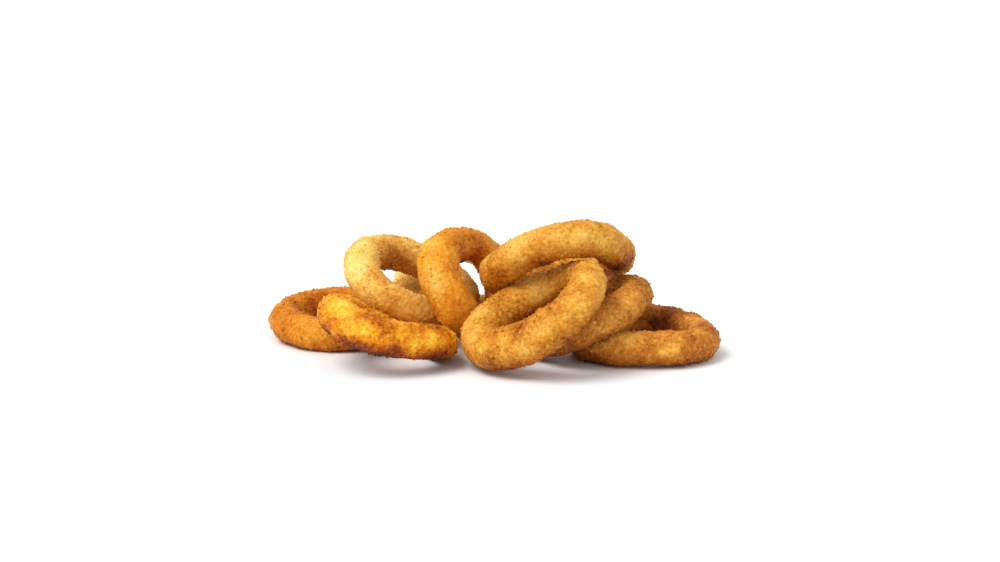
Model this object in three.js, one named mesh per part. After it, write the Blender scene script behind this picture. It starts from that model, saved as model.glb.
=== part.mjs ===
import * as THREE from 'three';
import { mergeVertices } from 'three/addons/utils/BufferGeometryUtils.js';

// A side of nine breaded onion rings, lying as a heap. Lengths are in millimetres, angles in degrees,
// +Z is up, and the heap rests on z = 0 with the origin under the middle of its outline box.

// Facets of one ring: along its whole length, and once round its limb.
const STEPS_ALONG = 54;
const STEPS_ROUND = 12;

// The crust's low bumps: their height, how many waves make them, the fewest and most bumps along a
// ring and round its limb, and the seed that all the rings' bumps are drawn from.
const BUMP_HEIGHT = 0.34;
const BUMP_WAVES = 10;
const BUMPS_ALONG = [4, 15];
const BUMPS_ROUND = [0, 3];
const BUMP_SEED = 7;

// Each ring's size:
//   across   from the limb's middle to its middle on the other side, on average
//   limb     thickness of the limb, on average
//   oval     how far the ring is longer than round, as a share, and where on the ring its long end is
//   egg      how far one end is drawn to a point, as a share, and where that end is
//   fat      how much thicker the limb is on one side than on average, as a share, and where
//   bend     how far the ring is bent out of flat, in millimetres, and where it is highest
// Each ring's place: its middle, the heading of the axis it leans about, and how steeply it leans.
// "Where" is an angle on the ring, counted from that axis.
const RINGS = [
  {
    name: 'ring_left_flat', colour: 0xc9853c,
    middle: [-64.5, 13.5, 7.75], heading: 351, lean: 3,
    across: 45, limb: 14.5, oval: [0.04, 55], egg: [0.04, 40], fat: [0.05, 115], bend: [0.25, 75],
  },
  {
    name: 'ring_left_front', colour: 0xd99a2e,
    middle: [-42.5, -34, 14], heading: 123, lean: 20,
    across: 40, limb: 14.5, oval: [0.14, 80], egg: [0, 60], fat: [0.11, 105], bend: [1.75, 45],
  },
  {
    name: 'ring_left_top', colour: 0xcf9a55,
    middle: [-34.5, 12.75, 24.25], heading: 54, lean: 27,
    across: 44, limb: 14.1, oval: [0.04, 150], egg: [0.02, 60], fat: [0.1, 105], bend: [0.75, 130],
  },
  {
    name: 'ring_upright', colour: 0xcf8428,
    middle: [-9.5, 3.5, 24.75], heading: 63, lean: 64,
    across: 40.5, limb: 15.3, oval: [0.09, 175], egg: [0.04, 25], fat: [0.13, 170], bend: [0.75, 20],
  },
  {
    name: 'ring_top', colour: 0xc58a42,
    middle: [27, -2.25, 36.75], heading: 24, lean: 152,
    across: 52, limb: 15.1, oval: [0.08, 145], egg: [0.05, 90], fat: [0.03, 110], bend: [1.5, 15],
  },
  {
    name: 'ring_front', colour: 0xcf933f,
    middle: [18.25, -39, 23.75], heading: 287, lean: 32,
    across: 46, limb: 16.1, oval: [0.08, 65], egg: [0.06, 15], fat: [0.11, 300], bend: [1.75, 45],
  },
  {
    name: 'ring_behind_front', colour: 0xc28f4e,
    middle: [37, -17.5, 18], heading: 277, lean: 22,
    across: 44.5, limb: 14.3, oval: [0.05, 55], egg: [0.05, 115], fat: [0.12, 325], bend: [1, 15],
  },
  {
    name: 'ring_right_flat', colour: 0xb97c37,
    middle: [61.5, -13.75, 7.25], heading: 26, lean: 0,
    across: 48.5, limb: 14.3, oval: [0.01, 60], egg: [0.06, 60], fat: [0.01, 230], bend: [0.5, 75],
  },
  {
    name: 'ring_back', colour: 0xc08a48,
    middle: [-14.5, 48.5, 15.5], heading: 1, lean: 27,
    across: 43.5, limb: 14.2, oval: [0.02, 120], egg: [0.04, 85], fat: [0.05, 200], bend: [1.5, 90],
  },
];

const radians = THREE.MathUtils.degToRad;

// Repeatable random numbers from 0 to 1.
function randomNumbers(seed) {
  let state = seed;
  return () => {
    state = (state + 0x6d2b79f5) | 0;
    let mixed = Math.imul(state ^ (state >>> 15), 1 | state);
    mixed = (mixed + Math.imul(mixed ^ (mixed >>> 7), 61 | mixed)) ^ mixed;
    return ((mixed ^ (mixed >>> 14)) >>> 0) / 2 ** 32;
  };
}

const random = randomNumbers(BUMP_SEED);

function randomCount([fewest, most]) {
  return fewest + Math.floor(random() * (most - fewest + 1));
}

// The height of one ring's crust at an angle along the ring and an angle round its limb, both in
// radians. It is a sum of waves that all close on themselves, so the crust has no seam.
function crust() {
  const waves = Array.from({ length: BUMP_WAVES }, () => ({
    along: randomCount(BUMPS_ALONG),
    round: randomCount(BUMPS_ROUND) * (random() < 0.5 ? -1 : 1),
    start: random() * 2 * Math.PI,
  }));
  const scale = BUMP_HEIGHT / Math.sqrt(BUMP_WAVES / 2) / 2;
  return (along, round) => scale * waves.reduce(
    (sum, wave) => sum + Math.sin(wave.along * along + wave.round * round + wave.start), 0);
}

// One cycle of a cosine, or more, that peaks at an angle given in degrees.
function swing([size, peak], angle, cycles) {
  return size * Math.cos(cycles * (angle - radians(peak)));
}

// A ring's closed skin, round its own Z axis: a torus whose every point is moved to its place on the
// oval, bent, uneven limb.
function ringGeometry({ across, limb, oval, egg, fat, bend }) {
  const torus = new THREE.TorusGeometry(across / 2, limb / 2, STEPS_ROUND, STEPS_ALONG);
  torus.deleteAttribute('normal');
  torus.deleteAttribute('uv');
  const geometry = mergeVertices(torus);
  const height = crust();
  const point = new THREE.Vector3();
  const position = geometry.getAttribute('position');
  for (let index = 0; index < position.count; index += 1) {
    point.fromBufferAttribute(position, index);
    const along = Math.atan2(point.y, point.x);
    const round = Math.atan2(point.z, Math.hypot(point.x, point.y) - across / 2);
    const middle = across / 2 * (1 + swing(oval, along, 2) + swing(egg, along, 3));
    const thick = limb / 2 * (1 + swing(fat, along, 1)) + height(along, round);
    const out = middle + thick * Math.cos(round);
    const up = swing(bend, along, 2) + thick * Math.sin(round);
    position.setXYZ(index, out * Math.cos(along), out * Math.sin(along), up);
  }
  return geometry;
}

// Presses flat what would reach below the surface that the heap lies on.
function restOnSurface(mesh) {
  mesh.updateMatrixWorld();
  const back = mesh.matrixWorld.clone().invert();
  const point = new THREE.Vector3();
  const position = mesh.geometry.getAttribute('position');
  for (let index = 0; index < position.count; index += 1) {
    point.fromBufferAttribute(position, index).applyMatrix4(mesh.matrixWorld);
    if (point.z < 0) {
      point.setZ(0).applyMatrix4(back);
      position.setXYZ(index, ...point);
    }
  }
  mesh.geometry.computeVertexNormals();
}

function onionRing(ring) {
  const crustMaterial = new THREE.MeshStandardMaterial({
    color: ring.colour, roughness: 0.75, metalness: 0,
  });
  const mesh = new THREE.Mesh(ringGeometry(ring), crustMaterial);
  mesh.name = ring.name;
  mesh.position.set(...ring.middle);
  mesh.rotateZ(radians(ring.heading));
  mesh.rotateX(radians(ring.lean));
  restOnSurface(mesh);
  return mesh;
}

const heap = new THREE.Group();
heap.add(...RINGS.map(onionRing));

// The origin goes under the middle of the heap's outline box.
const middle = new THREE.Box3().setFromObject(heap, true).getCenter(new THREE.Vector3());
heap.position.set(-middle.x, -middle.y, 0);

export default heap;
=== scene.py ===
import math

import bmesh
import bpy
import numpy as np
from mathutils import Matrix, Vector


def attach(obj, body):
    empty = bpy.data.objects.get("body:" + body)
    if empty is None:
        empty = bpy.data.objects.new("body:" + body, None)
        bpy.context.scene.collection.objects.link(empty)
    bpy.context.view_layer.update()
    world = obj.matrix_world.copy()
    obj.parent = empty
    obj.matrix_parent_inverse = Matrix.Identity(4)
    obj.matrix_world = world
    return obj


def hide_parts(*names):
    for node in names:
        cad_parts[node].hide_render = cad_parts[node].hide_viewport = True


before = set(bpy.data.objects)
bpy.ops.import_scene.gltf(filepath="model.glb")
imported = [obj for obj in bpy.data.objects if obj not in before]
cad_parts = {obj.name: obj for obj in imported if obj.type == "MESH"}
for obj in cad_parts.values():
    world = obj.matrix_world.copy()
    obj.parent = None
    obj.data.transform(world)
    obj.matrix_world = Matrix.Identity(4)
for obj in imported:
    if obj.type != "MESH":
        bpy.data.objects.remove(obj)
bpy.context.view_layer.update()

scene = bpy.context.scene

MM = 0.001
SEED = 41
SEEDS_PER_RING = 100

# The crust, in mm.
SURFACE_STEP = 0.52  # between the points of a ring's crust
WAVES = [(6.0, 0.3), (2.6, 0.16)]  # low lumps: how far across, how high
CRUST_LIFT = 0.04  # keeps the crust, on average, level with the ring's solid
# Grains set in the crust: their size, the share of places that has one, their height, and how much their
# browning differs.
COARSE_GRAINS = {"size": 1.9, "kept": 0.5, "height": 0.3, "tone": 0.18}
FINE_GRAINS = {"size": 1.15, "kept": 0.85, "height": 0.2, "tone": 0.17}
GRAIN_RADIUS = 0.34  # of its size
GRAIN_EXTRA_RADIUS = 0.3  # at most
GRAIN_TONE_GAIN = 1.9  # grains show more where the crust is browner
GRAIN_TONE_LIMITS = (0.3, 1.2)

# Loose crumbs fried into the crust, in mm.
CRUMBS_PER_RING = 1700
CRUMB_RADIUS = 0.18
CRUMB_EXTRA_RADIUS = 0.3  # added to few of them in full
CRUMB_STRETCH = 0.25  # longer or shorter than round, each way
CRUMB_UNEVENNESS = 0.22
CRUMB_STANDS_OUT = 0.3  # of its radius
# Painted highlight: crumbs a little paler than the crust under them, as if they catch the light.
CRUMB_PAINTED_HIGHLIGHT = 0.02
CRUMB_TONE = 0.1  # how much their browning differs

# Browning and painted shade, on one scale: 0 is palest and 1 is burnt.
BASE_BROWN = 0.42
BLOTCHES = [(11.0, 0.13), (4.5, 0.12)]  # mm across, and how much browner
# Painted shade: how much darker the crust is where it faces the ring's hole.
HOLE_PAINTED_SHADE = 0.06  # where the crust faces the ring's hole

# Each ring's finish, how brown it is over all, how much painted shade darkens it underneath, how blotchy,
# and where its crust is paler or browner, in part its own browning and in part painted highlights and
# painted shade: x, y, z and reach in mm, and the change. All but three of the 68 places were picked by
# eye on the photograph, and a separate program turned them into x, y and z on the CAD rings, to the
# nearest mm. If the rings move, they have to be worked out again. The rest was set one by one.
RINGS = {
    "ring_left_flat": {
        "slot": "crust_orange",
        "brown_and_painted_light": 0.06,
        "painted_underside_shade": 0.2,
        "mottle": 0.8,
        "patches_and_painted_light": [
            (-75, -17, 5, 9, -0.12), (-85, 15, 15, 8, 0.12), (-87, -3, 13, 7, 0.08),
            (-64, -19, 4, 8, 0.08), (-74, 23, 13, 7, 0.1),
        ],
    },
    "ring_left_front": {
        "slot": "crust_yellow",
        "brown_and_painted_light": 0.06,
        "painted_underside_shade": 0.56,
        "mottle": 1.5,
        # Painted highlight in the pale spot at -24, -53, 17, and painted shade at the browner right end at
        # -17, -45, 15, next to ring_upright.
        "patches_and_painted_light": [
            (-61, -52, 29, 10, -0.3), (-57, -37, 28, 6, -0.2), (-62, -57, 24, 2.6, 0.1),
            (-55, -61, 21, 8, -0.16), (-47, -59, 24, 8, 0.16), (-42, -62, 20, 5, 0.24),
            (-35, -58, 21, 6, 0.1), (-24, -53, 17, 4, -0.3), (-17, -45, 15, 7, 0.2),
            (-30, -59, 14, 9, -0.06), (-19, -50, 10, 8, 0.22), (-50, -63, 16, 8, 0.14),
            (-38, -61, 13, 7, 0.16),
        ],
    },
    "ring_left_top": {
        "slot": "crust_pale",
        "brown_and_painted_light": -0.02,
        "painted_underside_shade": 0.12,
        "mottle": 1.0,
        # In part painted light: paler on the lit left limb, and browner at -42, 18, 33, where the far limb's
        # inner side lies in shade.
        "patches_and_painted_light": [
            (-58, -6, 33, 10, -0.26), (-54, 5, 40, 9, -0.2), (-42, 18, 33, 8, 0.12),
            (-33, 24, 34, 7, -0.1), (-48, -15, 28, 8, -0.12), (-39, -17, 22, 5, 0.1),
            (-29, -15, 21, 7, -0.06),
        ],
    },
    "ring_upright": {
        "slot": "crust_orange",
        "brown_and_painted_light": -0.02,
        "painted_underside_shade": 0.12,
        "mottle": 0.9,
        # In part painted light: the left limb is painted paler where the light falls on it, and the right
        # side browner where it lies in shade.
        "patches_and_painted_light": [
            (-25, -21, 39, 8, -0.22), (-23, -26, 29, 8, -0.2), (-20, -26, 20, 8, -0.08),
            (-27, -11, 44, 6, -0.1), (-15, -5, 46, 8, 0.14), (-6, 7, 43, 9, 0.16),
            (-17, -21, 38, 6, 0.16), (-14, -27, 25, 6, 0.14),
        ],
    },
    "ring_top": {
        "slot": "crust_golden",
        "brown_and_painted_light": 0.0,
        "painted_underside_shade": 0.18,
        "mottle": 0.8,
        # Painted shade at the browner right end, x 49 to 57, and in part a painted highlight in the paler
        # places on top.
        "patches_and_painted_light": [
            (35, -35, 52, 8, -0.15), (45, -30, 50, 7, -0.14), (11, -33, 49, 9, -0.04),
            (56, -14, 41, 8, 0.18), (57, -8, 37, 7, 0.16), (20, -35, 42, 8, 0.18),
            (2, -27, 36, 7, 0.14), (38, -30, 44, 8, 0.12), (49, -10, 34, 8, 0.24),
        ],
    },
    "ring_front": {
        "slot": "crust_golden",
        "brown_and_painted_light": 0.09,
        "painted_underside_shade": 0.3,
        "mottle": 1.0,
        # The first three places are painted highlights, at the upper right and the lower left.
        "patches_and_painted_light": [
            (38, -57, 42, 8, -0.24), (32, -69, 34, 7, -0.18), (13, -69, 16, 7, -0.18),
            (-6, -52, 16, 8, -0.06), (11, -67, 22, 6, 0.08), (25, -69, 32, 6, 0.08),
            (18, -27, 29, 8, -0.16), (3, -33, 24, 7, 0.14), (0, -61, 9, 7, 0.08),
        ],
    },
    "ring_behind_front": {
        "slot": "crust_pale",
        # In part painted shade: browner for the shade it lies in behind ring_front.
        "brown_and_painted_light": 0.24,
        "painted_underside_shade": 0.2,
        "mottle": 0.5,
        "patches_and_painted_light": [
            (61, -27, 32, 5, 0.06), (56, -42, 28, 7, -0.18), (47, -49, 21, 8, -0.14),
            (63, -32, 27, 5, 0.1), (44, -48, 14, 7, 0.06),
        ],
    },
    "ring_right_flat": {
        "slot": "crust_brown",
        "brown_and_painted_light": 0.07,
        "painted_underside_shade": 0.26,
        "mottle": 1.0,
        "patches_and_painted_light": [
            (37, -36, 3, 8, 0.24), (49, -44, 5, 7, 0.1), (73, -1, 13, 10, 0.24), (67, 2, 9, 8, 0.2),
            (86, -27, 14, 6, 0.12), (69, -47, 8, 3, -0.3), (74, -46, 9, 3, -0.26),
            (54, -43, 12, 9, -0.12), (71, -44, 12, 9, -0.14), (86, -32, 12, 8, -0.14),
        ],
    },
    "ring_back": {
        "slot": "crust_golden",
        # Painted light: paler than its own crust, to lift the shade it lies in behind ring_left_top.
        "brown_and_painted_light": -0.11,
        "painted_underside_shade": 0.0,
        "mottle": 1.0,
        # A painted highlight on its lit left side and painted shadow on its right part, under ring_upright.
        "patches_and_painted_light": [
            (-41, 44, 19, 6, -0.26), (-32, 33, 17, 7, 0.18),
        ],
    },
}

# The crust's colours from palest to darkest, as sRGB values, for each finish, and where on the scale of
# browning each lies.
FINISHES = {
    "crust_yellow": [(254, 228, 128), (248, 194, 58), (220, 136, 22), (164, 76, 10), (86, 30, 6)],
    "crust_orange": [(242, 204, 108), (230, 160, 46), (204, 120, 22), (156, 74, 12), (86, 34, 8)],
    "crust_pale": [(250, 226, 154), (238, 190, 90), (212, 144, 52), (168, 98, 28), (98, 46, 14)],
    "crust_golden": [(250, 222, 144), (236, 184, 84), (206, 136, 38), (156, 82, 18), (86, 36, 10)],
    "crust_brown": [(246, 208, 120), (228, 164, 66), (188, 112, 32), (136, 68, 16), (74, 30, 9)],
}
STOPS = [0.0, 0.28, 0.52, 0.76, 1.0]
FRECKLES = [(1.6, 3.0, 0.6), (0.7, 2.0, 0.22)]  # mm across, detail, and how much browner
PORES = {"size": 0.45, "detail": 3.0, "height": 0.25}  # mm, too small for the mesh

# The studio. A lamp has its direction, spread in degrees, strength and colour.
FLOOR_REACH = 6.0  # m, to each side
FLOOR_COLOUR = (0.93, 0.965, 1.0, 1)
WHITE = (1, 1, 1, 1)
ROOM_LIGHT = 0.7
ROOM_SEEN = 1.1
LAMPS = {
    "key": ((-0.5, -0.35, 0.85), 36.0, 2.2, (1.0, 0.985, 0.955)),
    "fill": ((0.7, -0.6, 0.6), 60.0, 0.3, (1.0, 0.99, 0.97)),
}

# The camera looks at the heap from the front, from 13 degrees above, in mm.
CAMERA_LIFT = 13.0
CAMERA_REACH = 1300.0
CAMERA_RIGHT = 3.42
CAMERA_NEARER = 3.17
AIM_HEIGHT = 26.6


def linear(rgb):
    """An sRGB colour of 0 to 255 as linear red, green, blue and alpha."""
    values = [c / 255 for c in rgb]
    return [v / 12.92 if v <= 0.04045 else ((v + 0.055) / 1.055) ** 2.4 for v in values] + [1.0]


# ---------------------------------------------------------------- noise


def lattice(cells, seed):
    """A random value from 0 to 1 for each whole-number cell."""
    c = cells.astype(np.int64).astype(np.uint64)
    mix = c[:, 0] * np.uint64(73856093) ^ c[:, 1] * np.uint64(19349663) ^ c[:, 2] * np.uint64(83492791)
    mix = mix ^ np.uint64(seed * 2654435761 + 97)
    for factor in (0xBF58476D1CE4E5B9, 0x94D049BB133111EB):
        mix = (mix ^ (mix >> np.uint64(29))) * np.uint64(factor)
    return ((mix ^ (mix >> np.uint64(32))) & np.uint64(0xFFFFFF)).astype(float) / 0xFFFFFF


def soft_noise(points, size, seed):
    """Smooth noise from -1 to 1, with lumps about this many mm across."""
    scaled = points / size
    corner = np.floor(scaled)
    part = scaled - corner
    part = part * part * (3 - 2 * part)
    total = np.zeros(len(points))
    for dx in (0, 1):
        for dy in (0, 1):
            for dz in (0, 1):
                step = np.array([dx, dy, dz])
                share = np.abs(1 - step - part).prod(axis=1)
                total += share * lattice(corner + step, seed)
    return 2 * total - 1


def layered_noise(points, layers, seed):
    """Smooth noises added up, each with lumps of its own size in mm and its own strength."""
    return sum(share * soft_noise(points, size, seed + count) for count, (size, share) in enumerate(layers))


def grains(points, kind, seed):
    """Rounded grains set in the crust, at most one to a cell: their rise in mm, and how much browner or
    paler each is."""
    scaled = points / kind["size"]
    corner = np.floor(scaled)
    height = np.zeros(len(points))
    tone = np.zeros(len(points))
    for dx in (-1, 0, 1):
        for dy in (-1, 0, 1):
            for dz in (-1, 0, 1):
                cell = corner + np.array([dx, dy, dz])
                middle = cell + np.stack([lattice(cell, seed + axis) for axis in range(3)], 1)
                reach = GRAIN_RADIUS + GRAIN_EXTRA_RADIUS * lattice(cell, seed + 3)
                away = np.linalg.norm(scaled - middle, axis=1) / reach
                rise = np.where(lattice(cell, seed + 4) < kind["kept"], np.clip(1 - away**2, 0, 1), 0)
                higher = rise > height
                height = np.where(higher, rise, height)
                tone = np.where(higher, lattice(cell, seed + 5), tone)
    return kind["height"] * height, kind["tone"] * (tone - 0.5) * (height > 0)


# ---------------------------------------------------------------- crust


def even_surface(solid):
    """The points, outward directions and faces of a rounded, evenly meshed copy of a ring's solid, in mm."""
    mesh = solid.data.copy()
    joined = bmesh.new()
    joined.from_mesh(mesh)
    bmesh.ops.remove_doubles(joined, verts=joined.verts, dist=1e-6)
    joined.to_mesh(mesh)
    joined.free()
    piece = bpy.data.objects.new("even_" + solid.name, mesh)
    scene.collection.objects.link(piece)
    rounded = piece.modifiers.new("rounded", "SUBSURF")
    rounded.levels = 2
    rounded.render_levels = 2
    even = piece.modifiers.new("even", "REMESH")
    even.mode = "VOXEL"
    even.voxel_size = SURFACE_STEP * MM
    eased = piece.modifiers.new("eased", "SMOOTH")
    eased.factor = 0.5
    eased.iterations = 5
    graph = bpy.context.evaluated_depsgraph_get()
    made = bpy.data.meshes.new_from_object(piece.evaluated_get(graph))
    count = len(made.vertices)
    points = np.empty(count * 3)
    made.vertices.foreach_get("co", points)
    outward = np.empty(count * 3)
    made.vertex_normals.foreach_get("vector", outward)
    corners = np.empty(len(made.loops), dtype=np.int64)
    made.loops.foreach_get("vertex_index", corners)
    bpy.data.objects.remove(piece)
    return points.reshape(-1, 3) / MM, outward.reshape(-1, 3), corners.reshape(-1, 4)


def hole_axis(points):
    """A ring's middle and the direction of its hole."""
    middle = points.mean(axis=0)
    values, vectors = np.linalg.eigh(np.cov((points - middle).T))
    return middle, vectors[:, 0]


def browning_and_painted_light(points, outward, look, seed):
    """How brown the crust is at each point, before its grains, plus painted shade and highlights."""
    middle, axis = hole_axis(points)
    away = points - middle
    away -= np.outer(away @ axis, axis)
    away /= np.linalg.norm(away, axis=1)[:, None]
    facing_hole = -(outward * away).sum(axis=1)
    brown_and_painted_light = BASE_BROWN + look["brown_and_painted_light"] + look["mottle"] * layered_noise(points, BLOTCHES, seed)
    # Painted shade: darker where the crust faces the ring's hole.
    brown_and_painted_light = brown_and_painted_light + HOLE_PAINTED_SHADE * np.clip(facing_hole, 0, 1)
    # Painted shade: darker where the crust faces down.
    brown_and_painted_light = brown_and_painted_light + look["painted_underside_shade"] * np.clip(-outward[:, 2], 0, 1)
    # Patches: in part the crust's own browning, in part painted highlights and painted shade.
    for x, y, z, reach, change in look["patches_and_painted_light"]:
        near = np.linalg.norm(points - np.array([x, y, z]), axis=1) / reach
        brown_and_painted_light = brown_and_painted_light + change * np.exp(-2 * near**2)
    return brown_and_painted_light


def crumb_shape():
    """A small solid with 12 corners and 20 faces, for one crumb."""
    shape = bmesh.new()
    bmesh.ops.create_icosphere(shape, subdivisions=1, radius=1.0)
    shape.verts.ensure_lookup_table()
    corners = np.array([v.co[:] for v in shape.verts])
    faces = np.array([[v.index for v in f.verts] for f in shape.faces])
    shape.free()
    return corners, faces


def crumbs(points, outward, brown_and_painted_light, random):
    """Loose crumbs fried into the crust: their corners, faces, and browning with painted shade and
    highlight.
    """
    corners, faces = crumb_shape()
    where = random.choice(len(points), CRUMBS_PER_RING, replace=False)
    size = CRUMB_RADIUS + CRUMB_EXTRA_RADIUS * random.random(CRUMBS_PER_RING) ** 2.0
    all_corners = []
    all_faces = []
    all_brown_and_light = []
    for count, (at, radius) in enumerate(zip(where, size)):
        turn, _ = np.linalg.qr(random.normal(size=(3, 3)))
        stretch = radius * (1 - CRUMB_STRETCH + 2 * CRUMB_STRETCH * random.random(3))
        shape = corners * (1 + CRUMB_UNEVENNESS * random.normal(size=(len(corners), 1)))
        placed = (shape * stretch) @ turn + points[at] + outward[at] * radius * CRUMB_STANDS_OUT
        all_corners.append(placed)
        turned = faces if np.linalg.det(turn) > 0 else faces[:, ::-1]
        all_faces.append(turned + count * len(corners))
        # Painted highlight: each crumb a little paler than the crust under it.
        tone = brown_and_painted_light[at] - CRUMB_PAINTED_HIGHLIGHT + CRUMB_TONE * random.normal()
        all_brown_and_light.append(np.full(len(corners), tone))
    return np.concatenate(all_corners), np.concatenate(all_faces), np.concatenate(all_brown_and_light)


def fried_ring(name, look, seed):
    """One ring as it looks: its crust of grains, pits and crumbs, on the same place as its solid."""
    random = np.random.default_rng(seed)
    points, outward, quads = even_surface(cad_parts[name])
    brown_and_painted_light = browning_and_painted_light(points, outward, look, seed)
    coarse, coarse_tone = grains(points, COARSE_GRAINS, seed + 20)
    fine, fine_tone = grains(points, FINE_GRAINS, seed + 30)
    rise = layered_noise(points, WAVES, seed + 40) + coarse + fine + CRUST_LIFT
    brown_and_painted_light = brown_and_painted_light + (coarse_tone + fine_tone) * np.clip(GRAIN_TONE_GAIN * brown_and_painted_light, *GRAIN_TONE_LIMITS)
    points = points + outward * rise[:, None]
    extra, triangles, extra_brown_and_light = crumbs(points, outward, brown_and_painted_light, random)
    corners = np.concatenate([points, extra])
    corners[:, 2] = np.maximum(corners[:, 2], 0.0)
    mesh = bpy.data.meshes.new(name + "_crust")
    faces = quads.tolist() + (triangles + len(points)).tolist()
    mesh.from_pydata((corners * MM).tolist(), [], faces)
    smooth = np.zeros(len(faces), dtype=bool)
    smooth[: len(quads)] = True
    mesh.polygons.foreach_set("use_smooth", smooth)
    # Browning with painted shade and painted highlights, for the colour ramp.
    shade = mesh.attributes.new("brown_and_painted_light", "FLOAT", "POINT")
    shade.data.foreach_set("value", np.concatenate([brown_and_painted_light, extra_brown_and_light]).astype(np.float32))
    mesh.update()
    piece = bpy.data.objects.new(name + "_crust", mesh)
    scene.collection.objects.link(piece)
    mesh.materials.append(finish(look["slot"]))
    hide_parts(name)
    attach(piece, "root")


# ---------------------------------------------------------------- finishes


def shader_node(tree, kind, **inputs):
    """A shader node with these sockets set."""
    made = tree.nodes.new(kind)
    for socket, value in inputs.items():
        made.inputs[socket.replace("_", " ")].default_value = value
    return made


def maths(tree, operation, first, second):
    """A maths node whose sockets are numbers or other nodes' outputs."""
    made = tree.nodes.new("ShaderNodeMath")
    made.operation = operation
    for socket, value in zip(made.inputs, (first, second)):
        if isinstance(value, (int, float)):
            socket.default_value = value
        else:
            tree.links.new(value, socket)
    return made.outputs[0]


def finish(slot):
    """The fried crumb of this slot, made once."""
    name = slot + "_fried"
    if name in bpy.data.materials:
        return bpy.data.materials[name]
    made = bpy.data.materials.new(name)
    made.use_nodes = True
    tree = made.node_tree
    crust = tree.nodes["Principled BSDF"]
    place = tree.nodes.new("ShaderNodeTexCoord").outputs["Object"]
    brown_and_painted_light = tree.nodes.new("ShaderNodeAttribute")
    brown_and_painted_light.attribute_name = "brown_and_painted_light"

    def noise(size, detail):
        """Noise with lumps about this many mm across."""
        made = shader_node(tree, "ShaderNodeTexNoise", Scale=1 / (size * MM), Detail=detail, Roughness=0.6)
        tree.links.new(place, made.inputs["Vector"])
        return made.outputs[0]

    # The attribute holds browning with painted shade and painted highlights; the ramp turns it into colour.
    shade = brown_and_painted_light.outputs["Fac"]
    for size, detail, strength in FRECKLES:
        freckled = maths(tree, "MULTIPLY", maths(tree, "SUBTRACT", noise(size, detail), 0.5), strength)
        shade = maths(tree, "ADD", shade, freckled)
    ramp = tree.nodes.new("ShaderNodeValToRGB")
    stops = ramp.color_ramp.elements
    while len(stops) < len(STOPS):
        stops.new(0.5)
    for stop, at, colour in zip(stops, STOPS, FINISHES[slot]):
        stop.position = at
        stop.color = linear(colour)
    tree.links.new(shade, ramp.inputs[0])
    tree.links.new(ramp.outputs[0], crust.inputs["Base Color"])
    crust.inputs["Roughness"].default_value = 0.56
    crust.inputs["Specular IOR Level"].default_value = 0.13
    crust.inputs["Subsurface Weight"].default_value = 0.18
    crust.inputs["Subsurface Radius"].default_value = (1.0, 0.45, 0.18)
    crust.inputs["Subsurface Scale"].default_value = 1.6 * MM
    bump = shader_node(tree, "ShaderNodeBump", Strength=0.25, Distance=PORES["height"] * MM)
    tree.links.new(noise(PORES["size"], PORES["detail"]), bump.inputs["Height"])
    tree.links.new(bump.outputs[0], crust.inputs["Normal"])
    return made


# ---------------------------------------------------------------- studio


def floor():
    """A white floor, wider than any view of the heap."""
    side = FLOOR_REACH
    corners = [(-side, -side, 0), (side, -side, 0), (side, side, 0), (-side, side, 0)]
    mesh = bpy.data.meshes.new("floor")
    mesh.from_pydata(corners, [], [(0, 1, 2, 3)])
    piece = bpy.data.objects.new("floor", mesh)
    scene.collection.objects.link(piece)
    paint = bpy.data.materials.new("floor_white")
    paint.use_nodes = True
    surface = paint.node_tree.nodes["Principled BSDF"]
    surface.inputs["Base Color"].default_value = FLOOR_COLOUR
    surface.inputs["Roughness"].default_value = 0.7
    mesh.materials.append(paint)


def white_room():
    """Even light from all sides, and white where the floor ends."""
    world = bpy.data.worlds.new("white_room")
    world.use_nodes = True
    tree = world.node_tree
    room = tree.nodes["Background"]
    room.inputs["Color"].default_value = WHITE
    room.inputs["Strength"].default_value = ROOM_LIGHT
    beyond = shader_node(tree, "ShaderNodeBackground", Color=WHITE, Strength=ROOM_SEEN)
    chosen = tree.nodes.new("ShaderNodeMixShader")
    seen = tree.nodes.new("ShaderNodeLightPath").outputs["Is Camera Ray"]
    tree.links.new(seen, chosen.inputs[0])
    tree.links.new(room.outputs[0], chosen.inputs[1])
    tree.links.new(beyond.outputs[0], chosen.inputs[2])
    tree.links.new(chosen.outputs[0], tree.nodes["World Output"].inputs["Surface"])
    scene.world = world


def lamps():
    """Soft lamps, the stronger one at the front left."""
    for name, (place, spread, power, colour) in LAMPS.items():
        lamp = bpy.data.lights.new(name, "SUN")
        lamp.angle = math.radians(spread)
        lamp.energy = power
        lamp.color = colour
        holder = bpy.data.objects.new(name, lamp)
        holder.location = place
        holder.rotation_mode = "QUATERNION"
        holder.rotation_quaternion = Vector(place).to_track_quat("Z", "Y")
        scene.collection.objects.link(holder)


def camera():
    """The camera, at the photograph's angle."""
    lift = math.radians(CAMERA_LIFT)
    lens = bpy.data.cameras.new("camera")
    lens.lens = 112.5
    lens.sensor_width = 36.0
    holder = bpy.data.objects.new("camera", lens)
    holder.location = (
        CAMERA_RIGHT * MM,
        (AIM_HEIGHT * math.sin(lift) - CAMERA_REACH * math.cos(lift) - CAMERA_NEARER) * MM,
        (AIM_HEIGHT * math.cos(lift) + CAMERA_REACH * math.sin(lift)) * MM,
    )
    holder.rotation_mode = "QUATERNION"
    forward = Vector((0, math.cos(lift), -math.sin(lift)))
    holder.rotation_quaternion = forward.to_track_quat("-Z", "Y")
    scene.collection.objects.link(holder)
    scene.camera = holder


for count, (name, look) in enumerate(RINGS.items()):
    fried_ring(name, look, SEED + SEEDS_PER_RING * count)
floor()
white_room()
lamps()
camera()
scene.view_settings.view_transform = "Standard"
scene.view_settings.look = "None"
